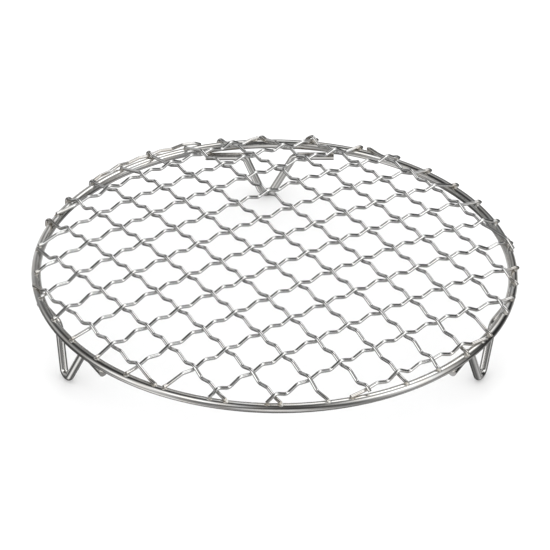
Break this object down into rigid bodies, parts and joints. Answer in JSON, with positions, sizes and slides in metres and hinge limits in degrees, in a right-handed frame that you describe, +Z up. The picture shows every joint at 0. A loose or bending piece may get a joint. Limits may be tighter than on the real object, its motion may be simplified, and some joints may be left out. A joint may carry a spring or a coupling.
{
  "type": "round cooling rack",
  "caption": "Round cooling rack of polished steel wire: a domed net of woven, crimped wires on a thick rim ring, with short wire legs under it.",
  "frame": {"origin": "on the surface it stands on, under the middle of the rim ring", "axes": "+Z up, along the rim ring's axis; +Y towards the back leg, so that the other two legs are at the front left and front right"},
  "size_m": [0.2046, 0.2055, 0.0383],
  "materials": {
    "rim_steel": "polished",
    "leg_steel": "polished",
    "net_steel": "polished"
  },
  "bodies": {
    "root": {"rim_ring": "rim_steel", "leg_back": "leg_steel", "leg_left": "leg_steel", "leg_right": "leg_steel", "warp_wire_01": "net_steel", "warp_wire_02": "net_steel", "warp_wire_03": "net_steel", "warp_wire_04": "net_steel", "warp_wire_05": "net_steel", "warp_wire_06": "net_steel", "warp_wire_07": "net_steel", "warp_wire_08": "net_steel", "warp_wire_09": "net_steel", "warp_wire_10": "net_steel", "warp_wire_11": "net_steel", "warp_wire_12": "net_steel", "weft_wire_01": "net_steel", "weft_wire_02": "net_steel", "weft_wire_03": "net_steel", "weft_wire_04": "net_steel", "weft_wire_05": "net_steel", "weft_wire_06": "net_steel", "weft_wire_07": "net_steel", "weft_wire_08": "net_steel", "weft_wire_09": "net_steel", "weft_wire_10": "net_steel", "weft_wire_11": "net_steel", "weft_wire_12": "net_steel", "weft_wire_13": "net_steel"}
  },
  "joints": []
}
